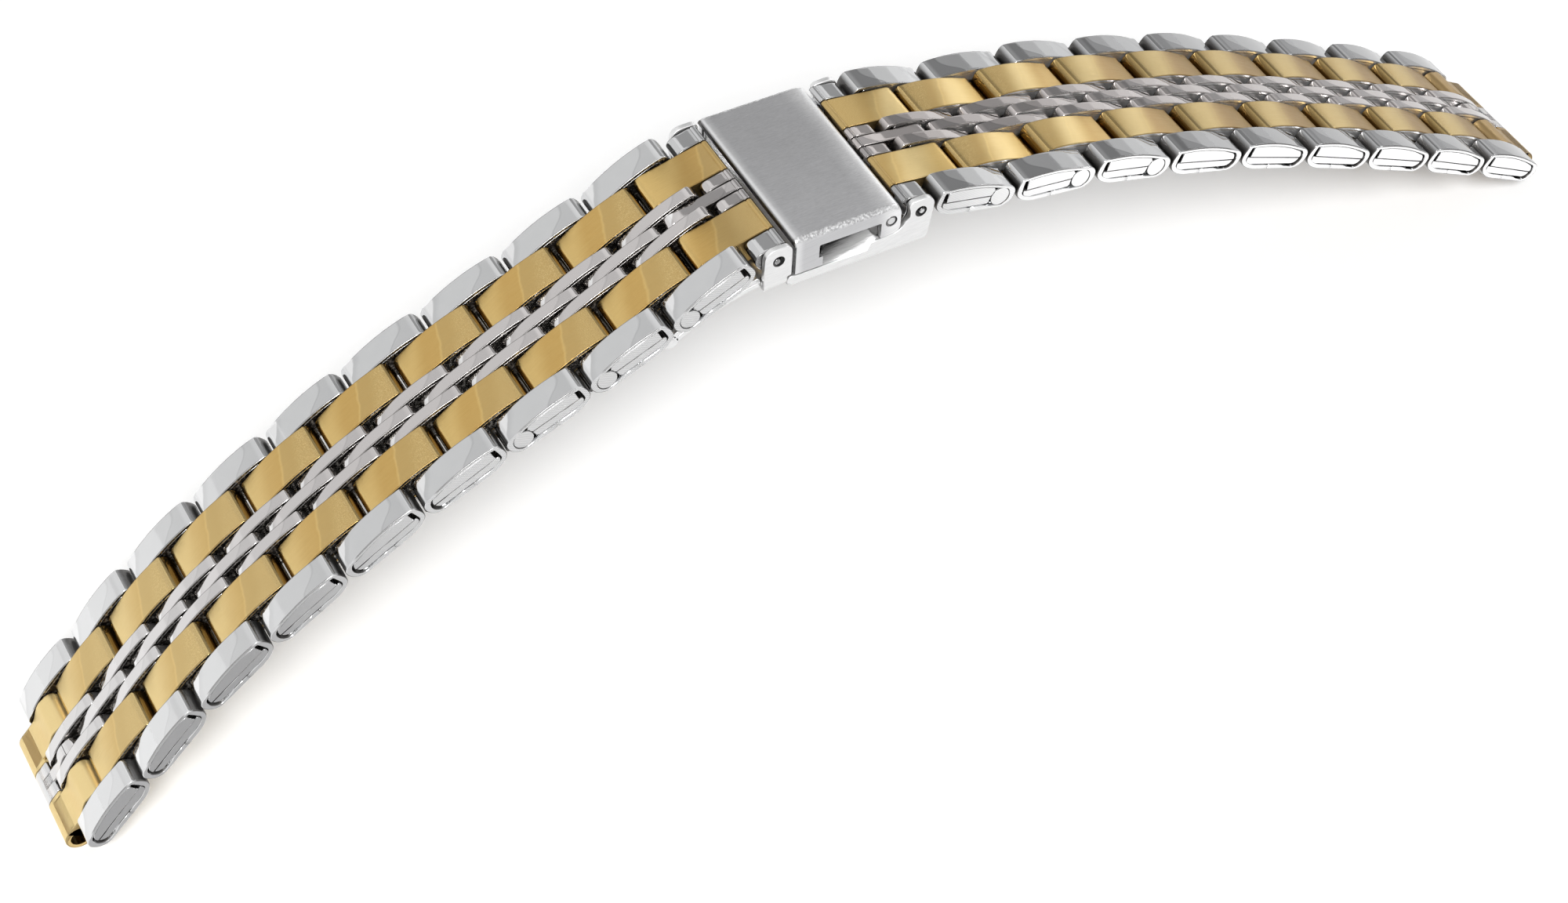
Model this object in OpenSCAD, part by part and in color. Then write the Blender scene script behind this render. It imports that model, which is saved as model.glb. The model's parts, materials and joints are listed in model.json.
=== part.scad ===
// Two-tone metal watch bracelet with folded links and a folding clasp
// Millimetres, +X along the bracelet, +Z up, resting on its two lug tubes

/* [Links] */
// Length of one row of links along the strand, gap included
link_pitch = 8.8; // [8.4:0.1:9.4]
// Gap between the ends of two rows
end_gap = 0.35; // [0.25:0.05:0.5]
// Thickness of a link
thick = 2.8; // [2.6:0.1:3.2]
// Sheet thickness of a folded shell
wall = 0.4; // [0.3:0.05:0.5]
// How much lower the top is at a row's ends than at its middle
arch_sag = 0.2; // [0.05:0.05:0.2]
// Depth below the top at which neighbouring rows are closest
contact_drop = 1; // [0.9:0.05:1.2]

/* [Columns] */
// Width of the edge columns
edge_w = 2.75; // [2.5:0.05:3.5]
// Width of the gold columns
gold_w = 4.15; // [3.6:0.05:5]
// Width of each of the three slim middle columns
slim_w = 1.4; // [1.2:0.05:2]
// Sideways gap between two columns
column_gap = 0.12; // [0.08:0.02:0.2]

/* [Pins] */
// Radius of the cross pins
pin_r = 0.45; // [0.35:0.05:0.5]
// Distance from a row's middle to its pin on the clasp side
pin_back = 1.85; // [1.7:0.05:2]
// Metal left outside a pin's end in the edge columns
edge_solid = 0.8; // [0.5:0.1:1.2]
// Radius of the rolled bead that holds the far pin
bead_r = 0.86; // [0.8:0.02:0.86]
// Length of the folded core plate on the clasp side of a row's middle
core_back = 3.3; // [2.9:0.1:3.5]
// Length of the folded core plate beyond a row's middle
core_front = 1.7; // [1.65:0.05:1.9]
// Clearance of a core inside its shell
core_fit = 0.02; // [0.01:0.01:0.04]

/* [Fits] */
// Radial clearance of a pin that stays put in its bore
still_fit = 0.01; // [0.01:0.01:0.02]
// Radial clearance of a pin that turns in its bore
run_fit = 0.03; // [0.02:0.01:0.05]

/* [Cover] */
// Length of the clasp's cover
cover_len = 10.65; // [10:0.05:12]
// Thickness of the cover's top
cover_t = 0.7; // [0.6:0.05:0.8]
// Depth of the cover's side flanges below its top
flange_drop = 3.95; // [3.8:0.05:4.1]
// Thickness of flanges, ears and outer walls
side_t = 0.55; // [0.5:0.05:0.65]
// Cover hinge, measured in from the cover's right edge
hinge_in = 0.95; // [0.9:0.05:1]
// Cover hinge, measured down from the cover's top
hinge_drop = 1.6; // [1.5:0.05:1.65]
// Radius of the cover's two rivets
rivet_r = 0.5; // [0.4:0.05:0.55]

/* [Clasp] */
// Height of the closed clasp
clasp_h = 5.05; // [5:0.05:5.5]
// Thickness of the clasp's floor
floor_t = 0.55; // [0.45:0.05:0.6]
// Height of the outer walls
rim_h = 0.9; // [0.7:0.05:1]
// Spring bar depth below the cover's top
bar_drop = 1.65; // [1.6:0.05:1.7]
// Left spring bar, measured out from the cover's left edge
bar_left_out = 1.52; // [1.5:0.02:1.7]
// Right spring bar, measured out from the cover's hinge
bar_right_out = 3; // [3:0.05:3.2]
// Radius of the spring bars
bar_r = 0.75; // [0.65:0.05:0.75]
// Radius of the spring bars' tips
tip_r = 0.5; // [0.4:0.05:0.55]
// Length of an ear along the clasp
ear_len = 2.75; // [2.6:0.05:2.9]

/* [Folding blade] */
// Radius of the wrist curve, on the face where tongue and blade meet
curve_r = 20; // [19:0.5:22]
// Thickness of the tongue and of the blade
blade_t = 0.5; // [0.4:0.05:0.5]
// Gap between tongue and blade
blade_gap = 0.06; // [0.04:0.01:0.1]
// Width of the tongue and of the blade
blade_w = 15.6; // [14:0.2:15.6]
// Distance from the cover's left edge to the fold hinge
fold_out = 11.2; // [10.8:0.1:11.4]
// Radius of the fold hinge's knuckles
knuckle_r = 0.75; // [0.7:0.05:0.75]
// Length of the middle knuckle
knuckle_len = 6.2; // [4:0.2:8]
// Radius of the fold hinge's pin
fold_pin_r = 0.4; // [0.3:0.05:0.45]

/* [End pieces] */
// Distance from the left bar to the next pin
bar_seg_left = 4.64; // [4.5:0.02:4.8]
// Distance from the right bar to the next pin
bar_seg_right = 3.99; // [3.95:0.02:4.4]
// Left end piece, length in front of its bar
front_left = 1.27; // [1.15:0.01:1.3]
// Right end piece, length in front of its bar
front_right = 1.8; // [1.7:0.05:1.85]
// Radius under the front of an end piece
front_round = 1.2; // [1:0.05:1.2]
// Outer radius of the lug tube
lug_r = 1.35; // [1.25:0.05:1.4]
// Bore radius of the lug tube
lug_bore_r = 0.9; // [0.75:0.05:0.95]
// Lug tube axis beyond the middle of its row
lug_out = 1.5; // [1.45:0.05:1.6]
// Lug tube axis below the middle of the thickness
lug_low = 0.88; // [0.8:0.02:1]
// Length of the steel band in the middle of the lug tube
band_len = 3.5; // [3:0.1:4]

/* [Hidden] */
rows = 9;
// Headings of the edge rows from the clasp outwards, in degrees below level
left_heads = [20.5, 19.2, 18.2, 20.4, 25.3, 27.5, 33.2, 41.2, 42];
right_heads = [19.5, 13.5, 21.5, 23.1, 26.9, 29.4, 29.8, 32, 33];
// Headings of the two end pieces and the two lug ends
left_first = 7.5;
right_first = 13;
left_last = 44;
right_last = 35;
clasp_head = 6;

band_w = 2 * edge_w + 2 * gold_w + 3 * slim_w;
link_len = link_pitch - end_gap;
pin_ahead = link_pitch / 2 - pin_back;
pin_half = band_w / 2 - edge_solid;
contact_z = thick / 2 - contact_drop;
widths = [edge_w, gold_w, slim_w, slim_w, slim_w, gold_w, edge_w];
outer_cols = [0, 2, 4, 6];
inner_cols = [1, 3, 5];
gold_cols = [1, 5];

// Places in the clasp's own frame: origin at the cover's top left edge
hinge = [cover_len - hinge_in, -hinge_drop];
left_bar = [-bar_left_out, -bar_drop];
right_bar = [hinge[0] + bar_right_out, -bar_drop];
side_gap = 0.05;
outer_y = band_w / 2;
flange_y = outer_y - side_t;
wall_y = flange_y - side_gap;
half_y = wall_y;
// How far a bore's cutter runs past the metal
past = 1;

// Rounding of the cover's left and right edges, and the shape of its flanges
cover_left_r = 0.4;
cover_right_r = 0.6;
flange_left = 0.18;
flange_slope = 0.1;
leg_right = 2.5;
window_top = -1.45;
lobe_in = 1;
lobe_drop = 1.6;
lobe_r = 0.8;
lobe_lap = 0.02;

// Inner walls of the base, their eyes for the rivets and their room under the cover
inner_in = 0.3;
eye_r = 0.85;
eye_end = -60;
cover_room = 0.15;
// Outer walls, cut away round the hinge between two angles
hinge_relief = 1.95;
relief_from = 200;
relief_to = 400;
rim_step = 0.3;
// Pads in the windows
pad_gap = 0.3;
pad_bevel = 0.6;
pad_hinge_gap = 2.05;
pad_r = 1;
pad_lap = 0.1;
pad_recess = 0.25;

// Ears for the spring bars
ear_r = 1.2;
ear_slope = 0.6;
ear_bevel = 0.3;
ear_drop_right = 0.3;
ear_drop_left = 0.2;
ear_gap = 0.15;
ear_foot = 3.9;
ear_tip = 3.7;
tip_in = 0.1;
// Seat under the left spring bar, joined to the blade
seat_drop = 3.6;
seat_dip = 0.15;
seat_rise = 0.08;

// Room cut in the right end piece for the cover's hinge
end_relief = 1.85;
end_relief_low = 0.15;
end_top_r = 0.3;

floor_top = -clasp_h + floor_t;
base_left = -0.5;
base_right = right_bar[0] + ear_len / 2;
blade_end = -0.6;
tongue_root = 0.2;
curve_x = 0.5;
curve = [curve_x, floor_top - curve_r];
fold_a = curve_angle(-fold_out, curve_r);
fold = curve + (curve_r + blade_gap / 2) * [cos(fold_a), sin(fold_a)];
knuckle_room = 0.1;
knuckle_cut = knuckle_r + knuckle_room;

steel = [0.8, 0.81, 0.83];
gold = [0.8, 0.63, 0.3];

function arc(c, r, a0, a1, n = 6) =
    [for (i = [0 : n]) c + r * [cos(a0 + (a1 - a0) * i / n), sin(a0 + (a1 - a0) * i / n)]];
// Angle at which a circle of radius r about the curve's centre stands over x
function curve_angle(x, r) = 90 + asin((curve_x - x) / r);
function tail(p) = [for (i = [1 : len(p) - 1]) p[i]];
function total(v, n) = n <= 0 ? 0 : v[n - 1] + total(v, n - 1);
function col_lo(i) = -outer_y + total(widths, i) + (i == 0 ? 0 : column_gap / 2);
function col_hi(i) = -outer_y + total(widths, i + 1) - (i == 6 ? 0 : column_gap / 2);

// One end of a link's outline, x being the end's place
function low_corner(x, inset = 0) =
    let (r = thick - contact_drop - inset) arc([x - r, contact_z], r, 270, 360);
function top_corner(x, inset = 0) =
    let (r = contact_drop - arch_sag - inset) arc([x - r, contact_z], r, 0, 90, 4);
function flip(p) = [for (i = [len(p) - 1 : -1 : 0]) [-p[i][0], p[i][1]]];
function link_outline(inset = 0) =
    let (
        half = link_len / 2 - inset,
        flat = half - (contact_drop - arch_sag - inset),
        crown = [for (i = [2, 1, 0, -1, -2])
            [flat * i / 3, thick / 2 - inset - arch_sag * i * i / 9]],
        side = concat(low_corner(half, inset), tail(top_corner(half, inset)))
    )
    concat(side, crown, flip(side));

// Headings of all rows of one strand: even places are inner rows, odd ones are outer rows
function head(side, n) =
    let (o = side < 0 ? left_heads : right_heads)
    n == 0 ? (side < 0 ? left_first : right_first)
    : n == 2 * rows ? (side < 0 ? left_last : right_last)
    : n % 2 == 1 ? o[(n - 1) / 2]
    : (o[n / 2 - 1] + o[n / 2]) / 2;
function step(side, n) =
    (n > 0 ? link_pitch / 2 : side < 0 ? bar_seg_left : bar_seg_right)
    * [side * cos(head(side, n)), -sin(head(side, n))];
function turned(p, a) = [p[0] * cos(a) + p[1] * sin(a), -p[0] * sin(a) + p[1] * cos(a)];
function bar_at(side) = turned(side < 0 ? left_bar : right_bar, clasp_head);
// Pin n of a strand: pin 0 is the spring bar
function pin_at(side, n) = n == 0 ? bar_at(side) : pin_at(side, n - 1) + step(side, n - 1);
function row_at(side, n) =
    let (a = head(side, n))
    (n > 0 ? pin_at(side, n) + pin_back * [side * cos(a), -sin(a)]
           : pin_at(side, 1) - pin_ahead * [side * cos(a), -sin(a)]);
function lug_at(side) =
    let (a = head(side, 2 * rows), p = row_at(side, 2 * rows))
    p + [side * (lug_out * cos(a) - lug_low * sin(a)), -lug_out * sin(a) - lug_low * cos(a)];

// The whole bracelet is levelled on its two lug tubes, with the origin midway under them
left_foot = lug_at(-1);
right_foot = lug_at(1);
level = atan2(right_foot[1] - left_foot[1], right_foot[0] - left_foot[0]);
shift = -turned((left_foot + right_foot) / 2, level) + [0, lug_r];

module placed() {
    translate([shift[0], 0, shift[1]])
        rotate([0, level, 0])
            children();
}
module in_clasp() {
    placed()
        rotate([0, clasp_head, 0])
            children();
}
module in_row(side, n) {
    p = row_at(side, n);
    placed()
        translate([p[0], 0, p[1]])
            rotate([0, side * head(side, n), 0])
                scale_side(side)
                    children();
}
module scale_side(side) {
    if (side < 0)
        mirror([1, 0, 0])
            children();
    else
        children();
}
module slab(y0, y1) {
    translate([0, y1, 0])
        rotate([90, 0, 0])
            linear_extrude(y1 - y0)
                children();
}
module rod(p, r, y0, y1) {
    translate([p[0], y1, p[1]])
        rotate([90, 0, 0])
            cylinder(r = r, h = y1 - y0, $fn = 48);
}
module both_sides() {
    children();
    mirror([0, 1, 0])
        children();
}

module link_shell(i) {
    slab(col_lo(i), col_hi(i))
        difference() {
            polygon(link_outline());
            polygon(link_outline(wall));
        }
}
module link_core(i, bore_r) {
    y0 = col_lo(i) + side_gap;
    y1 = col_hi(i) - side_gap;
    reach = min(y1, pin_half + side_gap);
    deep = max(y0, -pin_half - side_gap);
    open_lo = deep > y0 ? deep : y0 - past;
    open_hi = reach < y1 ? reach : y1 + past;
    difference() {
        union() {
            slab(y0, y1)
                intersection() {
                    polygon(link_outline(wall + core_fit));
                    translate([-core_back, -thick])
                        square([core_back + core_front, 2 * thick]);
                }
            rod([pin_ahead, 0], bead_r, y0, y1);
        }
        rod([-pin_back, 0], bore_r, open_lo, open_hi);
        rod([pin_ahead, 0], bore_r, open_lo, open_hi);
    }
}
module outer_row() {
    color(steel)
        for (i = outer_cols) {
            link_shell(i);
            link_core(i, pin_r + run_fit);
        }
}
module inner_row() {
    for (i = inner_cols)
        color(i == 3 ? steel : gold) {
            link_shell(i);
            link_core(i, pin_r + still_fit);
        }
    color(steel) {
        rod([-pin_back, 0], pin_r, -pin_half, pin_half);
        rod([pin_ahead, 0], pin_r, -pin_half, pin_half);
    }
}

// End pieces that hang on the clasp's spring bars
function bar_x(side) = pin_ahead - (side < 0 ? bar_seg_left : bar_seg_right);
function end_outline(side, x_end) =
    let (
        x0 = bar_x(side) - (side < 0 ? front_left : front_right),
        top_z = thick / 2 - arch_sag / 2
    )
    concat(
        arc([x0 + front_round, front_round - thick / 2], front_round, 180, 270),
        low_corner(x_end),
        tail(top_corner(x_end)),
        arc([x0 + end_top_r, top_z - end_top_r], end_top_r, 90, 180, 3)
    );
module end_piece(side, i) {
    whole = i % 2 == 1;
    lo = max(col_lo(i), -half_y);
    hi = min(col_hi(i), half_y);
    difference() {
        slab(lo, hi)
            polygon(end_outline(side, whole ? link_len / 2 : -end_gap / 2));
        rod([bar_x(side), 0], bar_r + run_fit, lo - past, hi + past);
        if (whole)
            rod([pin_ahead, 0], pin_r + still_fit, lo - past, hi + past);
        if (side > 0)
            rod([bar_x(side) - bar_right_out, -end_relief_low], end_relief, lo - past, hi + past);
    }
}
module end_gold(side) {
    color(gold)
        for (i = gold_cols)
            end_piece(side, i);
}
module end_steel(side) {
    color(steel) {
        for (i = [0, 2, 3, 4, 6])
            end_piece(side, i);
        rod([pin_ahead, 0], pin_r, -pin_half, pin_half);
    }
}

// Lug ends: three fingers on a tube that takes the watch's spring bar
lug_axis = [lug_out, -lug_low];
function finger_outline() = concat(
    flip(concat(low_corner(link_len / 2), tail(top_corner(link_len / 2)))),
    [
        [lug_axis[0] - 0.5 * lug_r, lug_axis[1] - 0.8 * lug_r],
        [lug_axis[0] - 0.3 * lug_r, lug_axis[1] + 0.9 * lug_r],
        [-0.1 * link_len, 0.11 * thick],
        [-0.16 * link_len, 0.27 * thick],
        [-0.22 * link_len, 0.41 * thick],
        [-0.3 * link_len, thick / 2 - arch_sag / 2]
    ]
);
module finger(lo, hi) {
    slab(lo, hi)
        polygon(finger_outline());
}
module lug_bores(lo, hi) {
    rod(lug_axis, lug_bore_r, lo - past, hi + past);
    rod([-pin_back, 0], pin_r + still_fit, lo - past, hi + past);
}
module lug_gold() {
    tube_lo = col_lo(1);
    tube_hi = -band_len / 2 - side_gap / 2;
    color(gold)
        both_sides()
            difference() {
                union() {
                    finger(col_lo(1), col_hi(1));
                    rod(lug_axis, lug_r, tube_lo, tube_hi);
                }
                lug_bores(tube_lo, tube_hi);
            }
}
module lug_steel() {
    color(steel) {
        difference() {
            union() {
                finger(col_lo(3), col_hi(3));
                rod(lug_axis, lug_r, -band_len / 2, band_len / 2);
            }
            lug_bores(-band_len, band_len);
        }
        rod([-pin_back, 0], pin_r, -pin_half, pin_half);
    }
}

// Clasp pieces, drawn in the clasp's own frame
lobe_left = hinge[0] - lobe_in;
lobe_low = -hinge_drop - lobe_drop;
module cover() {
    plate = concat(
        arc([cover_left_r, -cover_left_r], cover_left_r, 180, 90, 3),
        arc([cover_len - cover_right_r, -cover_right_r], cover_right_r, 90, 0, 4),
        [[cover_len, -cover_t], [0, -cover_t]]
    );
    flange = concat(
        [[flange_left, -cover_t / 2], [flange_left, -flange_drop], [leg_right, -flange_drop]],
        [[leg_right, window_top], [lobe_left, window_top], [lobe_left, lobe_low]],
        arc([cover_len - lobe_r, lobe_low + lobe_r], lobe_r, 270, 360, 4),
        [[cover_len, -cover_t + lobe_lap], [cover_len - flange_slope, -cover_t / 2]]
    );
    color(steel)
        in_clasp() {
            difference() {
                union() {
                    slab(-outer_y, outer_y)
                        polygon(plate);
                    both_sides()
                        slab(flange_y, outer_y)
                            polygon(flange);
                }
                rod(hinge, rivet_r + still_fit, -outer_y - past, outer_y + past);
            }
        }
}
module cover_rivets() {
    color(steel)
        in_clasp()
            both_sides()
                rod(hinge, rivet_r, wall_y - side_t, outer_y);
}
module clasp_base() {
    pad_left = leg_right + pad_gap;
    pad_right = hinge[0] - pad_hinge_gap;
    pad_top = window_top - pad_gap;
    ear_left = right_bar[0] - ear_len / 2;
    ear_top = -ear_drop_right;
    start_a = curve_angle(base_left + tongue_root, curve_r);
    wall_in = concat(
        [[inner_in, floor_top - floor_t / 2], [inner_in, -cover_t - cover_room]],
        arc(hinge, eye_r, 90, eye_end, 8),
        [[hinge[0] + inner_in, floor_top - floor_t / 2]]
    );
    wall_out = concat(
        [[base_left, -clasp_h], [base_left, -clasp_h + rim_h]],
        [[hinge[0] - hinge_relief - rim_step, -clasp_h + rim_h]],
        arc(hinge, hinge_relief, relief_from, relief_to, 20),
        [[ear_left + ear_slope, ear_top]],
        arc([base_right - ear_r, ear_top - ear_r], ear_r, 90, 0, 4),
        [[base_right, -clasp_h]]
    );
    pad = concat(
        [[pad_left, -clasp_h + rim_h / 2], [pad_left, pad_top - pad_bevel]],
        arc([pad_right - pad_r, pad_top - pad_r], pad_r, 90, 0, 5),
        [[pad_right, -clasp_h + rim_h / 2]]
    );
    tongue = concat(
        arc(curve, curve_r, start_a, fold_a, 12),
        arc(curve, curve_r - blade_t, fold_a, start_a, 12)
    );
    color(steel)
        in_clasp()
            difference() {
                union() {
                    slab(-outer_y, outer_y)
                        translate([base_left, -clasp_h])
                            square([base_right - base_left, floor_t]);
                    both_sides() {
                        slab(wall_y - side_t, wall_y)
                            polygon(wall_in);
                        slab(flange_y, outer_y)
                            polygon(wall_out);
                        slab(wall_y - pad_lap, outer_y - pad_recess)
                            polygon(pad);
                        rod(fold, knuckle_r, knuckle_len / 2 + side_gap, blade_w / 2);
                    }
                    difference() {
                        slab(-blade_w / 2, blade_w / 2)
                            polygon(tongue);
                        rod(fold, knuckle_cut, -knuckle_len / 2 - side_gap, knuckle_len / 2 + side_gap);
                    }
                }
                rod(hinge, rivet_r + run_fit, -outer_y - past, outer_y + past);
                rod(right_bar, tip_r + still_fit, -outer_y - past, outer_y + past);
                rod(fold, fold_pin_r + still_fit, -outer_y, outer_y);
            }
}
module fold_blade() {
    low_r = curve_r + blade_gap;
    start_a = curve_angle(blade_end, low_r);
    ear_left = left_bar[0] - ear_len / 2;
    ear_right = -ear_gap;
    ear_top = -ear_drop_left;
    layer = concat(
        arc(curve, low_r + blade_t, start_a, fold_a, 12),
        arc(curve, low_r, fold_a, start_a, 12)
    );
    seat = [
        [ear_left, floor_top - seat_dip],
        [blade_end, floor_top + seat_rise],
        [blade_end, -seat_drop],
        [ear_left, -seat_drop]
    ];
    ear = concat(
        [[ear_left, floor_top - seat_dip], [blade_end, floor_top + seat_rise], [blade_end, -ear_foot]],
        [[ear_right, -ear_tip], [ear_right, ear_top - ear_bevel], [ear_right - ear_bevel, ear_top]],
        arc([ear_left + ear_r, ear_top - ear_r], ear_r, 90, 180, 4)
    );
    color(steel)
        in_clasp()
            difference() {
                union() {
                    difference() {
                        slab(-blade_w / 2, blade_w / 2)
                            polygon(layer);
                        both_sides()
                            rod(fold, knuckle_cut, knuckle_len / 2, outer_y);
                    }
                    slab(-outer_y, outer_y)
                        polygon(seat);
                    both_sides()
                        slab(flange_y, outer_y)
                            polygon(ear);
                    rod(fold, knuckle_r, -knuckle_len / 2, knuckle_len / 2);
                }
                rod(left_bar, tip_r + still_fit, -outer_y - past, outer_y + past);
                rod(fold, fold_pin_r + run_fit, -outer_y, outer_y);
            }
}
module fold_pin() {
    color(steel)
        in_clasp()
            rod(fold, fold_pin_r, -blade_w / 2, blade_w / 2);
}
module spring_bar(p) {
    color(steel)
        in_clasp() {
            rod(p, bar_r, -half_y, half_y);
            rod(p, tip_r, -outer_y + tip_in, outer_y - tip_in);
        }
}

cover();
cover_rivets();
clasp_base();
fold_blade();
fold_pin();
spring_bar(left_bar);  // spring_bar_left
spring_bar(right_bar);  // spring_bar_right
for (s = [-1, 1]) {
    name = s < 0 ? "left" : "right";
    in_row(s, 0) end_gold(s);
    in_row(s, 0) end_steel(s);
    in_row(s, 2 * rows) lug_gold();
    in_row(s, 2 * rows) lug_steel();
    for (k = [1 : rows])
        in_row(s, 2 * k - 1) outer_row();
    for (k = [2 : rows])
        in_row(s, 2 * k - 2) inner_row();
}
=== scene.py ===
# Two-tone watch bracelet with folded links and a folding clasp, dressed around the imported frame
import json
import math

import bmesh
import bpy
from mathutils import Matrix, Vector
from mathutils.geometry import tessellate_polygon


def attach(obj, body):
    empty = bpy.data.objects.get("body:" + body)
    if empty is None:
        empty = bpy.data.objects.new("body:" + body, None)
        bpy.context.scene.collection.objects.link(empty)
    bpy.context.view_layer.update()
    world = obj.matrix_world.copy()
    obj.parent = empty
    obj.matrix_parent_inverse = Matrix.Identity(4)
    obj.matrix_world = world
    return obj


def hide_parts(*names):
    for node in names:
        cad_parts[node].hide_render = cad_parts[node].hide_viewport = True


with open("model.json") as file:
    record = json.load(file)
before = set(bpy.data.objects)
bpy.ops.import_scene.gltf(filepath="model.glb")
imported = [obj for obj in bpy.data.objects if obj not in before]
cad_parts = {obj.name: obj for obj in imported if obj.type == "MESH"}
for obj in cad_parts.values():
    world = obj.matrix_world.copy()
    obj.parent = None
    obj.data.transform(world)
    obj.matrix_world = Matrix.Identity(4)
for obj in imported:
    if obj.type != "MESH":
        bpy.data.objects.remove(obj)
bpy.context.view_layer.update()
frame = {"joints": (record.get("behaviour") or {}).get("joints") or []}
scene = bpy.context.scene
mm = 0.001


# Camera, fitted to the joints between the links, in millimetres
cameraFit = {
    "place": (-84.13, -169.81, 229.15),
    "right": (0.87409, -0.48279, -0.05382),
    "down": (-0.40365, -0.66008, -0.63355),
    "ahead": (0.2703, 0.57549, -0.77188),
    "lens": 69.543, "sensor": 36,
}


def makeCamera(fit):
    camera = bpy.data.objects.new("camera", bpy.data.cameras.new("camera"))
    scene.collection.objects.link(camera)
    camera.data.sensor_fit = "HORIZONTAL"
    camera.data.sensor_width = fit["sensor"]
    camera.data.lens = fit["lens"]
    camera.data.clip_start = 0.01
    camera.data.clip_end = 20
    turn = Matrix((fit["right"], -Vector(fit["down"]), -Vector(fit["ahead"]))).transposed()
    camera.matrix_world = Matrix.Translation(Vector(fit["place"]) * mm) @ turn.to_4x4()
    scene.camera = camera


makeCamera(cameraFit)
print("camera ready")


def grey(level):
    return level, level, level, 1


# Shader maths: a wrapped socket, and a finish that adds nodes to its material
class Value:
    def __init__(self, finish, socket):
        self.finish, self.socket = finish, socket

    def __add__(self, other):
        return self.finish.maths("ADD", self, other)

    def __sub__(self, other):
        return self.finish.maths("SUBTRACT", self, other)

    def __mul__(self, other):
        return self.finish.maths("MULTIPLY", self, other)

    def __rsub__(self, other):
        return self.finish.maths("SUBTRACT", other, self)

    __radd__, __rmul__ = __add__, __mul__


class Finish:
    marked = "batch", "rim"

    def __init__(self, name, kinds=bpy.data.materials, shader="Principled BSDF"):
        self.material = kinds.new(name)
        self.material.use_nodes = True
        self.tree = self.material.node_tree
        self.shader = self.tree.nodes[shader]

    def node(self, kind, settings=None, sockets=None, out=0):
        made = self.tree.nodes.new("ShaderNode" + kind)
        for key, value in (settings or {}).items():
            if key == "stops":
                ramp = made.color_ramp.elements
                while len(ramp) < len(value):
                    ramp.new(0.5)
                for stop, (place, level) in zip(ramp, value):
                    stop.position, stop.color = place, grey(level)
            else:
                setattr(made, key, value)
        for key, value in (sockets or {}).items():
            self.feed(made.inputs[key], value)
        return Value(self, made.outputs[out])

    def other(self, value, name):
        # Another output of the same node
        return Value(self, value.socket.node.outputs[name])

    def seenBy(self, *rays):
        # 1 for the camera and for the named rays
        path = seen = self.node("LightPath", None, None, "Is Camera Ray")
        for name in rays:
            seen = self.maths("MAXIMUM", seen, self.other(path, name))
        return seen

    def feed(self, socket, value):
        if isinstance(value, Value):
            self.tree.links.new(value.socket, socket)
        else:
            socket.default_value = value

    def maths(self, operation, *values):
        return self.node("Math", {"operation": operation}, dict(enumerate(values)))

    def ramp(self, value, *stops):
        return self.node("ValToRGB", {"stops": stops}, {"Fac": value})

    def noise(self, vector, scale, detail=2.0):
        return self.node("TexNoise", None, {"Vector": vector, "Scale": scale, "Detail": detail})

    def across(self, *parts):
        return self.node("CombineXYZ", None, dict(enumerate(parts)))

    def blend(self, factor, first, second):
        sockets = {"Factor": factor, 6: first, 7: second}
        return self.node("Mix", {"data_type": "RGBA"}, sockets, 2)

    def bump(self, height, strength, distance):
        sockets = {"Height": height, "Strength": strength, "Distance": distance}
        return self.node("Bump", None, sockets)

    def surface(self, **sockets):
        names = {"base": "Base Color", "glow": "Emission Color", "strength": "Emission Strength"}
        for key, value in sockets.items():
            self.feed(self.shader.inputs[names.get(key, key.title())], value)
        return self.material

    def rise(self, value, low, high):
        # Smooth step from 0 to 1
        sockets = {"Value": value, "From Min": low, "From Max": high}
        return self.node("MapRange", {"interpolation_type": "SMOOTHSTEP"}, sockets)

    def fall(self, value, low, high):
        return 1 - self.rise(value, low, high)

    def over(self, look, base, *layers):
        # Lays the look's colours over its base colour, each by its own factor
        color = look[base]
        for factor, name in layers:
            color = self.blend(factor, color, look[name])
        return color

    def linkPlace(self):
        # In millimetres: u runs round a link from its top towards the clasp, v across it
        place = self.node("SeparateXYZ", None, {0: self.node("UVMap", {"uv_map": "linkUv"})})
        marked = [self.node("Attribute", {"attribute_name": name}, None, "Fac") for name in self.marked]
        return place, self.other(place, "Y"), *marked

    def objectPlace(self, *axes):
        # Place along the named axes, in millimetres
        place = self.node("SeparateXYZ", None, {0: self.node("TexCoord", None, None, "Object")})
        return [self.other(place, axis) * 1000 for axis in axes]

    def bandPlace(self):
        # Place along the bracelet, and out from its middle line
        along, out = self.objectPlace("X", "Y")
        return along, self.maths("ABSOLUTE", out)

    def claspPlace(self):
        # Place in the clasp's own frame: along the cover from its left edge, and up from its top
        corner, tilt = clasp["corner"], math.radians(clasp["tilt"])
        x, z = self.objectPlace("X", "Z")
        x, z = x - corner[0], z - corner[2]
        return x * math.cos(tilt) - z * math.sin(tilt), x * math.sin(tilt) + z * math.cos(tilt)

    def distance(self, x, z, middle):
        sockets = {0: self.across(x, z), 1: (middle[0], middle[1], 0)}
        return self.node("VectorMath", {"operation": "DISTANCE"}, sockets, 1)


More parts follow.
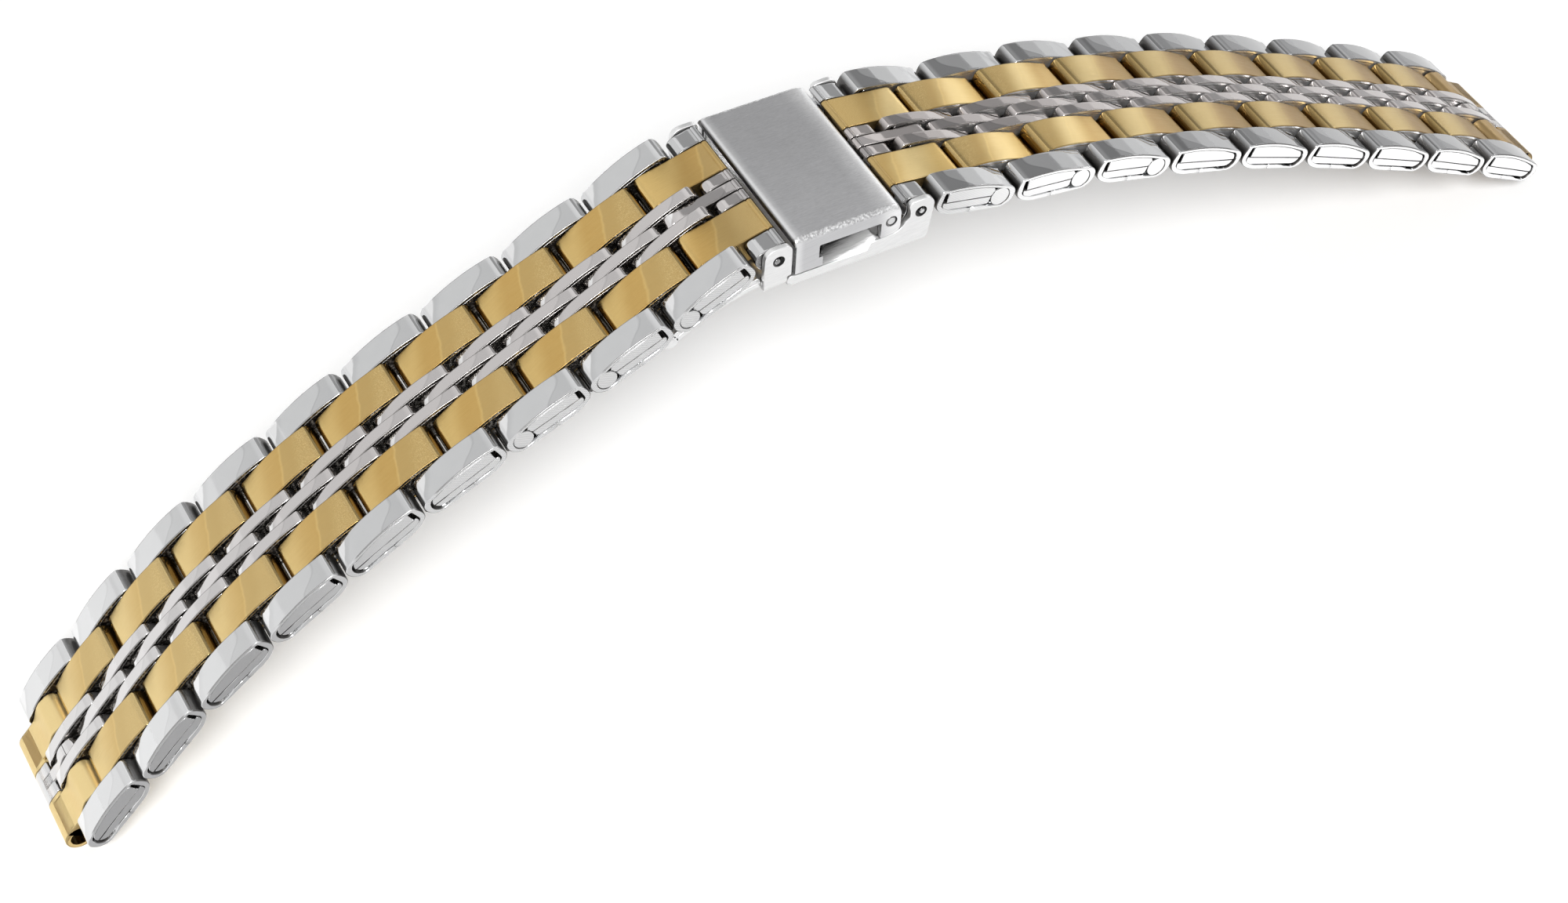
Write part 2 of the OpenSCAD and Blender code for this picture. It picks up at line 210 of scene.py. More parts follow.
# Looks: colours, and the places along the bracelet between which an end's painted light and shade set in
polishedLook = {
    "color": (0.62, 0.625, 0.63, 1), "worn": grey(0.82),
    "warm": (0.6, 0.555, 0.54, 1), "shade": (0.16, 0.16, 0.165, 1),
    "bright": grey(0.95), "deepShade": (0.05, 0.046, 0.042, 1),
    "roughness": 0.04, "leftEnd": (-76, -44), "rightEnd": (16, 44),
}
cutLook = {
    "color": grey(0.9), "hollow": (0.34, 0.34, 0.345, 1),
    "deepShade": (0.05, 0.045, 0.04, 1), "lighterFleck": (0.42, 0.4, 0.37, 1),
    "roughness": 0.32, "glow": 0.2, "pitch": 0.3, "leftEnd": (-64, -34), "rightStrand": (4, 24),
}
goldLook = {
    "color": (0.68, 0.49, 0.195, 1), "deep": (0.54, 0.35, 0.115, 1),
    "pale": (0.51, 0.36, 0.145, 1), "bright": (0.9, 0.73, 0.38, 1),
    "brownShade": (0.5, 0.36, 0.19, 1), "deepShade": (0.1, 0.055, 0.015, 1),
    "roughness": 0.12, "leftEnd": (-72, -44), "rightEnd": (18, 44),
    "brownShadeEnd": (18, 40), "sheenMoves": (14, 36),
}
satinLook = {
    "color": (0.64, 0.64, 0.65, 1), "shade": (0.46, 0.46, 0.47, 1), "bright": grey(0.97),
    "deepShade": (0.06, 0.055, 0.05, 1), "roughness": 0.26,
    "cover": True, "brush": (260, 24000),
}
sheetLook = {
    "color": grey(0.86), "shade": grey(0.7), "bright": grey(0.97),
    "deepShade": (0.02, 0.018, 0.016, 1), "roughness": 0.3,
    "cover": False, "brush": (1500, 14000),
}
# The outline's own u starts at the link's top, and other shapes are told apart by an offset to it
marks = {"end": 2.0, "plain": 9.0, "pin": 20.0, "bar": 40.0, "lug": -20.0}


def endShadeMask(f, u):
    # The ends of a link, below its top corners, where shade is painted
    near = f.rise(u, 3.0, 3.6) * f.fall(u, 5.0, 5.8)
    return near + f.rise(u, -7.9, -7.2) * f.fall(u, -5.8, -5.2)


def polishedSteel():
    f, look = Finish("polished_steel"), polishedLook
    u, v, batch, rim = f.linkPlace()
    place, out = f.bandPlace()
    right = f.rise(place, -1, 1)
    cloud = f.noise(f.across(u, v, batch * 31), 0.7, 3.0)
    hairs = f.ramp(f.noise(f.across(u * 0.5, v * 14, batch * 17), 1.0, 2.0), (0.62, 0), (0.72, 1))
    waves = f.noise(f.across(u, v, batch * 53), 0.35, 1.0)
    slim = f.fall(out, 2.2, 2.4) * f.fall(u, marks["plain"] - 1, marks["plain"])
    # A darker tone, painted as a reflection, that ends in a curved, darker line, over the quarter of each
    # link nearest the clasp
    near = f.rise(v * (1 - right * 2), -1.35, 1.35)
    past = u + near * near * 1.9 + cloud * 0.3 - 1.8
    reflectionZone = f.rise(past, -0.08, 0.12) * f.fall(u, 2.3, 2.75)
    line = f.rise(past, -0.2, 0) - f.rise(past, 0, 0.25)
    # A painted highlight on the far end, beyond a curved, slightly darker painted line
    beyond = u + near * 1.3 + cloud * 0.4 + 3.3
    light = f.fall(beyond, -0.1, 0.1) * f.rise(u, -4.9, -4.3)
    streak = f.rise(beyond, -0.15, 0.1) - f.rise(beyond, 0.1, 0.9)
    # Painted shade at the ends of a link and on pins, and a painted dark reflection along the edges of its
    # top
    edge = f.rise(rim, 0.75, 0.95) * f.rise(u, -3.9, -3.2) * f.fall(u, 2.2, 2.8) * 0.6
    pin = f.rise(u, marks["pin"] - 5, marks["pin"] - 4)
    dark = f.maths("MAXIMUM", endShadeMask(f, u) * 0.88 + pin * 0.92, edge)
    return f.surface(
        base=f.over(
            look, "color",
            (cloud * 0.2, "worn"),
            (slim * (0.6 + right * 0.3), "warm"),
            (reflectionZone * (0.16 + right * 0.3) + line * 0.14, "shade"),
            (streak * 0.12, "shade"),
            (light * (0.75 - right * 0.6), "bright"),
            # Painted shade on the right end and a painted highlight on the left end
            (f.rise(place, *look["rightEnd"]) * (0.5 - slim * 0.3), "shade"),
            (f.fall(place, *look["leftEnd"]) * 0.4, "bright"),
            (dark, "deepShade"),
        ),
        roughness=cloud * 0.05 + hairs * 0.05 + rim * 0.06 + dark * 0.25 + look["roughness"],
        metallic=1.0,
        normal=f.bump(hairs * 0.02 + waves, 0.25, 0.05 * mm),
    )


def cutSteel():
    f, look = Finish("cut_steel"), cutLook
    u, v, batch = f.linkPlace()[:3]
    place, out = f.bandPlace()
    turns = 2 * math.pi / look["pitch"]
    one = f.maths("SINE", (u + v * 0.25) * turns)
    two = f.maths("SINE", (v - u * 0.2) * (turns * 1.1))
    grain = f.noise(f.across(u * 3, v * 3, batch * 23), 1.0, 4.0)
    # The cutter's marks are strongest near the clasp, the left end is greyer with painted shade and the
    # right strand white with painted light
    left = f.fall(place, *look["leftEnd"])
    right = f.rise(place, *look["rightStrand"])
    plate = f.fall(out, 8.965, 8.985)
    outside = f.rise(out, 8.6, 8.75)
    sharp = (1 - left) * (1 - right * 0.65)
    tooth = (one * two * 0.5 + 0.5) * sharp + (1 - sharp) * 0.85
    level = (1 - left * (plate * 0.2 + 0.82)) * (tooth * 0.6 + 0.2 + right * 0.25) + grain * 0.12 - 0.06
    face = f.over(look, "hollow", (level, "color"))
    # Between the links the sides are painted dark as shade, with lighter flecks, but for the upper edge of
    # the right strand, which has a painted highlight
    inside = f.over(
        look, "deepShade",
        (f.ramp(grain, (0.5, 0), (0.66, 1)), "lighterFleck"),
        (right * f.rise(v, 0.1, 0.45) * 0.9, "color"),
    )
    return f.surface(
        base=f.blend(outside, inside, face),
        # A painted glow on the outer cut faces of the right strand
        glow=right * outside * look["glow"],
        strength=1.0,
        roughness=grain * 0.16 + look["roughness"],
        metallic=1.0,
        normal=f.bump(tooth * 0.7 + grain * 0.3, 0.6, 0.06 * mm),
    )


def brushedGold():
    f, look = Finish("brushed_gold"), goldLook
    u, v, batch, rim = f.linkPlace()
    place = f.bandPlace()[0]
    right, left = f.rise(place, -1, 1), f.fall(place, *look["leftEnd"])
    lug = f.fall(u, marks["lug"] + 7, marks["lug"] + 8)
    crown = f.rise(u, -5.0, -4.2) * f.fall(u, 2.4, 2.9) + lug
    wide = f.noise(f.across(u * 0.3, v * 4, batch * 19), 1.0, 3.0)
    fine = f.noise(f.across(u * 0.8, v * 22, batch * 37), 1.0, 2.0)
    speck = f.noise(f.across(u * 15, v * 24, batch * 41), 1.0, 3.0)
    cloud = f.noise(f.across(u, v, batch * 13), 0.45, 2.0)
    lines = f.ramp(wide * 0.4 + fine * 0.6, (0.3, 0), (0.7, 1))
    # Brushed, with a blast finish towards the clasp; the tones are a painted reflection, deeper in the
    # middle and dimmer towards the clasp, and the bright specks of the blast finish are painted glints
    turned = u + v * 0.35 + cloud * 0.8
    blastedWithGlints = f.rise(turned, 0.9, 2.2)
    middle = f.rise(turned, -3.6, -1.6) * f.fall(turned, -0.35, -0.05)
    # On the right strand the far ends get a painted shade in a darker, browner gold, and a painted sheen
    # moves towards the clasp
    brownShade = f.rise(place, *look["brownShadeEnd"]) * f.fall(turned, -0.8, 0.8)
    moved = turned + 1.9 - f.rise(place, *look["sheenMoves"]) * 3.2
    sheen = f.fall(f.maths("ABSOLUTE", moved), 0.3, 2.8)
    return f.surface(
        base=f.over(
            look, "color",
            (f.rise(turned, -0.2, 0.1), "pale"),
            (middle * 0.75 + lines * 0.25 * crown, "deep"),
            (brownShade * 0.75, "brownShade"),
            (right * sheen * 0.7, "bright"),
            # A painted highlight on the left end, a painted dark reflection along the rims, and painted
            # shade on the right end and at the ends of each link
            (left * (0.25 + f.fall(turned, -3.2, 0.5) * 0.4), "bright"),
            (blastedWithGlints * f.ramp(speck, (0.5, 0), (0.7, 0.7)), "bright"),
            (f.rise(rim, 0.75, 0.95) * 0.55, "deepShade"),
            (f.rise(place, *look["rightEnd"]) * 0.46, "deepShade"),
            (endShadeMask(f, u) * 0.8, "deepShade"),
        ),
        roughness=crown * 0.22 + lines * crown * 0.1 + cloud * 0.05 + look["roughness"],
        metallic=1.0,
        normal=f.bump((lines * (1 - blastedWithGlints) + speck * blastedWithGlints) * crown, 0.5, 0.025 * mm),
    )


def brushedSteel(name, look):
    # Brush lines along the clasp
    f = Finish(name)
    x, z = f.claspPlace()
    place = f.node("TexCoord", None, None, "Object")
    out = f.bandPlace()[1]
    along, across = look["brush"]
    turned = f.node("Mapping", None, {
        "Vector": place,
        "Rotation": (0, -math.radians(clasp["tilt"]), 0),
        "Scale": (along, across, across),
    })
    lines = f.ramp(f.noise(turned, 0.3, 3.0) * 0.4 + f.noise(turned, 1.0, 2.0) * 0.6, (0.3, 0), (0.72, 1))
    cloud = f.noise(place, 120.0, 2.0)
    if look["cover"]:
        # Painted highlights towards the right end, in a band by the left edge and where the sheet turns
        # down, broken there by scuffs into painted glints and shade; painted shade on its left edge face
        scuffGlints = f.ramp(f.noise(place, 5200.0, 4.0), (0.38, 0), (0.66, 1))
        bend = f.rise(out, 8.35, 8.6) * f.fall(out, 8.9, 8.99)
        shine = f.rise(x + cloud, 8.4, 10.8) * (0.4 + lines * 0.5) + f.fall(x, 0.3, 1.1) * 0.4
        shine = f.maths("MAXIMUM", shine, bend * scuffGlints * 0.6)
        dark = f.fall(x, 0.02, 0.2) * 0.85 + bend * (1 - scuffGlints) * 0.35
    else:
        # Painted shade down the holes for the bars, and on the walls behind the flanges
        holes = [f.fall(f.distance(x, z, clasp[bar]), 0.57, 0.6) for bar in ("leftBar", "rightBar")]
        behind = f.rise(out, 8.2, 8.3) * f.fall(out, 8.4, 8.44) * f.rise(z, -4.6, -4.4)
        shine, dark = 0.0, (holes[0] + holes[1]) * 0.9 + behind * 0.8
    return f.surface(
        base=f.over(
            look, "shade",
            (lines * 0.8 + cloud * 0.2, "color"),
            (shine, "bright"),
            (dark, "deepShade"),
        ),
        roughness=lines * 0.1 + cloud * 0.06 + look["roughness"],
        metallic=1.0,
        normal=f.bump(lines, 0.3, 0.012 * mm),
    )


def padSteel():
    # Worn pads in the windows, with a painted shadow under the cover's edge and a painted highlight towards
    # the hinge
    f = Finish("pad_steel")
    x, z = f.claspPlace()
    streak = f.noise(f.across(x * 0.9, z * 5), 1.0, 4.0)
    depth = (x * 0.36 - z * 0.75 + streak * 0.9 - 3.15) * 0.25
    level = f.ramp(depth, (0.02, 0.02), (0.14, 0.1), (0.3, 0.3), (0.48, 0.42), (0.62, 0.92))
    return f.surface(base=level, roughness=0.3, metallic=1.0, normal=f.bump(streak, 0.5, 0.05 * mm))


# Outlines are lists of (x, z) in millimetres, anticlockwise as seen from the front
def arc(centre, reach, start, end, steps):
    # Of a circle, or of an ellipse when the reach is a pair
    wide, high = reach if isinstance(reach, tuple) else (reach, reach)
    angles = [math.radians(start + (end - start) * i / steps) for i in range(steps + 1)]
    return [(centre[0] + wide * math.cos(a), centre[1] + high * math.sin(a)) for a in angles]


def circle(centre, radius, steps=28):
    return arc(centre, radius, 0, 360, steps)[:-1]


def flipped(points):
    return [(-x, z) for x, z in reversed(points)]


def edgeTurn(rounding, steps):
    # Insets and depths round an edge, from the cap inwards
    turn = [math.radians(90 * i / steps) for i in range(steps + 1)]
    return [(rounding * (1 - math.sin(a)), rounding * (1 - math.cos(a))) for a in turn]


def shrunk(points, inset):
    moved = []
    for i, point in enumerate(points):
        before, here = Vector(points[i - 1]), Vector(point)
        after = Vector(points[(i + 1) % len(points)])
        a, b = (here - before).normalized(), (after - here).normalized()
        a, b = Vector((-a.y, a.x)), Vector((-b.y, b.x))
        moved.append(tuple(here + (a + b) * inset / (1 + max(a.dot(b), -0.5))))
    return moved


# The band beside an edge in which the rim mark fades, and the angle from which an edge stays sharp
edgeBand, sharpAngle = 0.15, math.radians(38)


class Builder:
    # Gathers closed shapes in one mesh, with the map and the marks that the finishes read
    def __init__(self):
        self.mesh = bmesh.new()
        self.uv = self.mesh.loops.layers.uv.new("linkUv")
        self.cut = self.mesh.faces.layers.float.new("cut")
        self.rim = self.mesh.verts.layers.float.new("rim")
        self.place = {}

    def vertex(self, x, y, z, along, rim=0.0):
        made = self.mesh.verts.new((x, y, z))
        made[self.rim] = rim
        self.place[made] = (along, y)
        return made

    def face(self, corners, flat=False, cut=False):
        made = self.mesh.faces.new(corners)
        made.smooth = True
        made[self.cut] = 1.0 if cut else 0.0
        for loop in made.loops:
            at = loop.vert.co
            loop[self.uv].uv = (at.x, at.z) if flat else self.place[loop.vert]
        return made

    def strip(self, first, second):
        count = len(first)
        for i in range(count):
            k = (i + 1) % count
            self.face((first[i], second[i], second[k], first[k]))

    def lengths(self, points, start):
        # Distance round the outline, counted from its top
        run = [0.0]
        for a, b in zip(points, points[1:]):
            run.append(run[-1] + math.dist(a, b))
        return [length - run[start] for length in run]

    def solid(self, outline, low, high, rounding=0.06, holes=(), cut=False, steps=3, mark=0.0):
        # The outline drawn from y low to y high, with rounded edges
        top = max(range(len(outline)), key=lambda i: outline[i][1] - 0.01 * abs(outline[i][0]))
        along = [length + mark for length in self.lengths(outline, top)]
        side = edgeTurn(rounding, steps)
        inner = rounding + edgeBand
        stations = [(inset, low + y, 1.0) for inset, y in side]
        if high - low > 2 * inner + 0.1:
            stations += [(0, low + inner, 0.0), (0, high - inner, 0.0)]
        stations += [(inset, high - y, 1.0) for inset, y in reversed(side)]
        loops = []
        for inset, y, rim in stations:
            ring = shrunk(outline, inset) if inset else outline
            loops.append([self.vertex(x, y, z, s, rim) for (x, z), s in zip(ring, along)])
        for first, second in zip(loops, loops[1:]):
            self.strip(first, second)
        walls = []
        for hole in holes:
            pair = [[self.vertex(x, y, z, marks["plain"]) for x, z in hole] for y in (low, high)]
            self.strip(pair[1], pair[0])
            walls.append(pair)
        flat = mark < marks["pin"]
        self.cap([loops[0]] + [pair[0] for pair in walls], False, cut, flat)
        self.cap([loops[-1]] + [pair[1] for pair in walls], True, cut, flat)

    def cap(self, loops, back, cut, flat):
        if len(loops) == 1:
            made = [self.face(reversed(loops[0]) if back else loops[0], flat=flat, cut=cut)]
        else:
            corners = [vertex for loop in loops for vertex in loop]
            made = []
            for triple in tessellate_polygon([[vertex.co for vertex in loop] for loop in loops]):
                a, b, c = (corners[i] for i in triple)
                normal = (b.co - a.co).cross(c.co - a.co)
                ordered = (a, b, c) if (normal.y > 0) == back else (a, c, b)
                made.append(self.face(ordered, flat=flat, cut=cut))
        border = set(made)
        for face in made:
            for edge in face.edges:
                if not all(other in border for other in edge.link_faces):
                    edge.smooth = False

    def mirrored(self, outline, low, high, **shape):
        self.solid(outline, low, high, **shape)
        self.solid(outline, -high, -low, **shape)

    def finished(self, name, matrix=None, *materials):
        for edge in self.mesh.edges:
            if len(edge.link_faces) == 2 and edge.calc_face_angle() > sharpAngle:
                edge.smooth = False
        self.mesh.transform(Matrix.Scale(mm, 4) @ (matrix or Matrix.Identity(4)))
        data = bpy.data.meshes.new(name)
        self.mesh.to_mesh(data)
        self.mesh.free()
        for material in materials:
            data.materials.append(material)
        made = bpy.data.objects.new(name, data)
        scene.collection.objects.link(made)
        return made


def evaluated(piece, kind=None, **settings):
    # Adds a modifier, and turns what the modifiers make into the piece's own plain mesh
    modifier = piece.modifiers.new(kind, kind) if kind else None
    for key, value in settings.items():
        setattr(modifier, key, value)
    result = bpy.data.meshes.new_from_object(piece.evaluated_get(bpy.context.evaluated_depsgraph_get()))
    piece.modifiers.clear()
    piece.data = result
    return piece


def finishPiece(piece, body, slot, *nodes):
    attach(piece, body)
    if nodes:
        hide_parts(*nodes)


# Links: a folded shell round two plates and a rolled bead
link = {
    "length": 8.58, "thick": 2.8, "edgeRound": 0.08, "contactDrop": 1.0, "topDrop": 0.2,
    "crown": 1.58, "crownAt": -1.2, "crownRadius": 16.5,
    "wallTop": 0.32, "wallSide": 0.6, "wallLow": 0.5,
    "seamAt": -0.35, "seamGap": 0.05, "lip": 0.03,
    "coreGap": 0.035, "coreRecess": 0.05, "coreRound": 0.03,
    "pinBack": 1.85, "pinAhead": 2.55, "pinRadius": 0.45, "pinReach": 8.2, "pinRound": 0.05,
    "ribAt": (-0.1, -0.98), "ribRadius": 0.25, "ribReach": 6.5,
    "bead": (2.7, -0.15), "beadRadius": 0.96,
    "farEnd": {"level": 0.05, "low": 1.45, "top": 1.0},
    "claspEnd": {"level": -0.05, "low": 2.3, "top": 0.6},
}
columns = {
    "edge": 2.69, "gold": 4.03, "slim": 1.28, "half": 9.0, "gap": 0.06,
    "steps": (2.75, 4.15, 1.4, 1.4, 1.4, 4.15, 2.75),
    "goldSpacing": 8.35, "slimSpacing": 2.8,
}
contactHeight = link["thick"] / 2 - link["contactDrop"]


def crownHeight(x):
    return link["crown"] - (x - link["crownAt"]) ** 2 / (2 * link["crownRadius"])


def linkOutline(inset=0.0, hollow=False):
    # Round the outside of a shell, or round its hollow, from one lip of the seam to the other
    top, side, low = (link["wallTop"], link["wallSide"], link["wallLow"]) if hollow else (0, 0, 0)
    half = link["length"] / 2 - side - inset
    base = low + inset - link["thick"] / 2
    far, near = link["farEnd"], link["claspEnd"]
    dip = 0.24 if hollow else 0.0
    farLevel, nearLevel = far["level"] - (0.2 if hollow else 0), near["level"] - (0.1 if hollow else 0)

    def span(reach):
        return max(reach - side - inset, 0.14 if hollow else 0.45 - inset)

    def height(x):
        return crownHeight(x) - top - inset

    points = [(link["seamAt"] + link["seamGap"] / 2, base)]
    points += [(0.9, base), (1.4, base - dip * 0.2), (1.8, base - dip * 0.7)]
    reach = 0.99 - inset if hollow else span(far["low"])
    points += arc((half - reach, farLevel), (reach, farLevel - base + dip), 270, 360, 9)
    reach = span(far["top"] + (0.25 if hollow else 0))
    points += arc((half - reach, farLevel), (reach, height(half - reach) - farLevel), 0, 90, 7)[1:]
    right = half - reach
    reach = span(near["top"])
    left = reach - half
    points += [(x, height(x)) for x in (right + (left - right) * i / 10 for i in range(1, 10))]
    points += arc((left, nearLevel), (reach, height(left) - nearLevel), 90, 180, 7)
    reach = span(near["low"])
    points += arc((reach - half, nearLevel), (reach, nearLevel - base), 180, 270, 9)[1:]
    return points + [(-0.9, base), (link["seamAt"] - link["seamGap"] / 2, base)]


def endCorners(x):
    # The end of a link from its underside up to its top
    low, top = link["thick"] - link["contactDrop"], link["contactDrop"] - link["topDrop"]
    lower = arc((x - low, contactHeight), low, 270, 360, 9)
    return lower + arc((x - top, contactHeight), top, 0, 90, 7)[1:]


def addShell(build, width):
    # The section from inset, place across, rim mark and whether it lies in the hollow
    half, rounding, lip = width / 2, link["edgeRound"], link["lip"]
    side = [(inset, half - depth) for inset, depth in edgeTurn(rounding, 3)]
    inner = half - rounding - edgeBand
    section = [(inset, -y, 1.0, False) for inset, y in side]
    section += [(0, -inner, 0.0, False), (0, inner, 0.0, False)]
    section += [(inset, y, 1.0, False) for inset, y in reversed(side)]
    section += [(-lip, half, 1.0, True), (0, half - lip, 0.0, True)]
    section += [(0, lip - half, 0.0, True), (-lip, -half, 1.0, True)]
    outer = linkOutline()
    top = max(range(len(outer)), key=lambda i: outer[i][1])
    along = build.lengths(outer, top)
    loops = []
    for inset, y, rim, hollow in section:
        points = linkOutline(inset, hollow)
        loops.append([build.vertex(x, y, z, s, rim) for (x, z), s in zip(points, along)])
    count = len(loops)
    for j in range(count):
        first, second = loops[j], loops[(j + 1) % count]
        cut = abs(section[j][1]) == half and section[j][1] == section[(j + 1) % count][1]
        for i in range(len(outer) - 1):
            made = build.face((first[i], second[i], second[i + 1], first[i + 1]), flat=cut, cut=cut)
            if cut:
                for edge in made.edges:
                    if (edge.verts[0] in first) == (edge.verts[1] in first):
                        edge.smooth = False
    build.face([loop[0] for loop in reversed(loops)], flat=True)
    build.face([loop[-1] for loop in loops], flat=True)


def addCore(build, width, beaded):
    # Two plates, and a rolled bead at the far end of the links near the clasp
    half = width / 2 - link["coreRecess"]
    under = link["wallTop"] + link["coreGap"]
    back = [(-3.3, -0.05)] + arc((-3.2, -0.25), 0.34, 140, 180, 3)
    back += arc((-2.9, -0.26), 0.62, 190, 262, 5) + [(-2.4, -0.83)]
    if beaded:
        upper = [(-3.2, 0.0), (1.66, 0.06), (1.72, 0.18)] + arc((2.16, 0.3), 0.36, 200, 120, 4)
        lower = [(1.6, -0.62), (1.66, 0.0)] + back + [(1.42, -0.8)]
        pieces = [circle(link["bead"], link["beadRadius"])]
    else:
        pieces = []
        upper = [(-3.2, 0.0), (3.36, -0.12)] + arc((2.86, -0.12), (0.6, 0.78), 8, 98, 5)[:-1]
        lower = arc((2.55, 0.0), 0.84, 275, 347, 5) + back + [(2.3, -0.84)]
    upper += [(x, crownHeight(x) - under) for x in (1.75, 0.6, -0.6, -1.8, -3.05)]
    upper += [(-3.2, crownHeight(-3.2) - under - 0.12)]
    for outline in pieces + [upper, lower]:
        build.solid(outline, -half, half, rounding=link["coreRound"], cut=True, steps=1)


def makeBlank(name, width, beaded):
    build = Builder()
    addShell(build, width)
    addCore(build, width, beaded)
    return build.finished(name)


def addRod(build, centre, radius=link["pinRadius"], reach=link["pinReach"], **shape):
    build.solid(circle(centre, radius, 20), -reach, reach, mark=marks["pin"], **shape)


def makeRodBlank(name, *place):
    build = Builder()
    addRod(build, *place, rounding=link["pinRound"])
    return build.finished(name)


# One tree sets out a row: wide links, slim ones, two pins, and a rib in the slit below
def makeRowTree():
    tree = bpy.data.node_groups.new("rowOfLinks", "GeometryNodeTree")
    inputs = {
        "Object": "Wide Blank, Slim Blank, Pin Blank, Rib Blank",
        "Int": "Wide Count, Slim Count, Pin Count, Seed",
        "Float": "Wide Spacing, Slim Spacing, Pin Spacing, Pin Start, Heading, Facing",
        "Material": "Finish, Cut Finish",
        "Vector": "Place",
    }
    for kind, names in inputs.items():
        for name in names.split(", "):
            tree.interface.new_socket(name, in_out="INPUT", socket_type="NodeSocket" + kind)
    tree.interface.new_socket("Geometry", in_out="OUTPUT", socket_type="NodeSocketGeometry")
    given = tree.nodes.new("NodeGroupInput").outputs

    def add(kind, settings=None, sockets=None, out=0):
        made = tree.nodes.new(kind)
        for key, value in (settings or {}).items():
            setattr(made, key, value)
        for key, value in (sockets or {}).items():
            if isinstance(value, bpy.types.NodeSocket):
                tree.links.new(value, made.inputs[key])
            else:
                made.inputs[key].default_value = value
        return made.outputs[out]

    def maths(operation, first, second):
        return add("ShaderNodeMath", {"operation": operation}, {0: first, 1: second})

    def vector(**parts):
        return add("ShaderNodeCombineXYZ", None, parts)

    def instances(kind, start, offset):
        line = add("GeometryNodeMeshLine", {"mode": "OFFSET"}, {
            "Count": given[kind + " Count"], "Start Location": start, "Offset": offset,
        })
        shape = add("GeometryNodeObjectInfo", None, {"Object": given[kind + " Blank"]}, "Geometry")
        copies = add("GeometryNodeInstanceOnPoints", None, {"Points": line, "Instance": shape})
        number = add("FunctionNodeRandomValue", {"data_type": "FLOAT"}, {"Seed": given["Seed"]}, 1)
        return add("GeometryNodeStoreNamedAttribute", {"data_type": "FLOAT", "domain": "INSTANCE"}, {
            "Geometry": copies, "Name": "batch", "Value": number,
        })

    def spread(kind):
        spacing = given[kind + " Spacing"]
        span = maths("MULTIPLY", maths("SUBTRACT", given[kind + " Count"], 1.0), spacing)
        return instances(kind, vector(Y=maths("MULTIPLY", span, -0.5)), vector(Y=spacing))

    pins = instances("Pin", vector(X=given["Pin Start"]), vector(X=given["Pin Spacing"]))
    rib = add("GeometryNodeObjectInfo", None, {"Object": given["Rib Blank"]}, "Geometry")
    join = tree.nodes.new("GeometryNodeJoinGeometry")
    for part in (rib, pins, spread("Slim"), spread("Wide")):
        tree.links.new(part, join.inputs[0])
    turn = vector(Y=given["Heading"], Z=given["Facing"])
    placed = add("GeometryNodeTransform", None, {
        "Geometry": join.outputs[0], "Translation": given["Place"], "Rotation": turn,
    })
    real = add("GeometryNodeRealizeInstances", None, {"Geometry": placed})
    dressed = add("GeometryNodeSetMaterial", None, {"Geometry": real, "Material": given["Finish"]})
    mark = add("GeometryNodeInputNamedAttribute", {"data_type": "FLOAT"}, {"Name": "cut"})
    above = {"data_type": "FLOAT", "operation": "GREATER_THAN"}
    isCut = add("FunctionNodeCompare", above, {0: mark, 1: 0.5})
    last = add("GeometryNodeSetMaterial", None, {
        "Geometry": dressed, "Selection": isCut, "Material": given["Cut Finish"],
    })
    tree.links.new(last, tree.nodes.new("NodeGroupOutput").inputs[0])
    return tree


def makeRow(tree, name, settings):
    piece = bpy.data.objects.new(name, bpy.data.meshes.new(name))
    scene.collection.objects.link(piece)
    modifier = piece.modifiers.new("rowOfLinks", "NODES")
    modifier.node_group = tree
    for item in tree.interface.items_tree:
        if item.in_out == "INPUT" and settings[item.name] is not None:
            modifier[item.identifier] = settings[item.name]
    return evaluated(piece)


# Places of the rows come from the joints: a row lies between its two pins
sides = {"left": math.pi, "right": 0.0}
joints = {joint["name"]: Vector(joint["pos_m"]) for joint in frame["joints"]}


def rowPlace(side, number):
    # Centre in metres, and heading below level, of row number, the end piece being row 0
    first, second = joints.get(f"{side}_{number + 1}"), joints.get(f"{side}_{number + 2}")
    if second is None:
        local = Vector((link["pinBack"] + lugEnd["out"], 0, -lugEnd["low"]))
        gap = Vector(lugEnd[side]) * mm - first
        heading = math.atan2(-gap.z, abs(gap.x)) - math.atan2(-local.z, local.x)
    else:
        gap = second - first
        heading = math.atan2(-gap.z, abs(gap.x))
    sign = 1 if side == "right" else -1
    ahead = Vector((sign * math.cos(heading), 0, -math.sin(heading)))
    if number == 0:
        return second - ahead * link["pinAhead"] * mm, heading
    return first + ahead * link["pinBack"] * mm, heading


def rowMatrix(side, number):
    centre, heading = rowPlace(side, number)
    turn = Matrix.Rotation(sides[side], 4, "Z") @ Matrix.Rotation(heading, 4, "Y")
    return Matrix.Translation(centre / mm) @ turn


lugEnd = {
    "out": 1.5, "low": 0.88, "radius": 1.35, "bore": 0.9, "inside": 0.06,
    "bandLength": 3.5, "bandGap": 0.03, "bump": 1.3, "dip": (-0.2, -2.9),
    "left": (-79.8346, 0, 1.35), "right": (79.8346, 0, 1.35),
}
lugAxis = (lugEnd["out"], -lugEnd["low"])
stripTop = lugAxis[1] + lugEnd["radius"] - 0.003
clasp = {
    "tilt": 6.198407, "corner": (-5.84676, 0, 40.0303),
    "height": 5.05, "floor": 0.55, "rim": 0.9, "floorInset": 0.1,
    "flange": 8.45, "wall": 8.4, "sheet": 0.55,
    "hinge": (9.7, -1.6), "leftBar": (-1.52, -1.65), "rightBar": (12.7, -1.65),
    "barRadius": 0.75, "barHalf": 8.3, "tipRadius": 0.3, "tipPull": 0.12, "tipSpan": (8.25, 9.02),
    "holeRadius": 0.58, "earReach": 1.375,
}
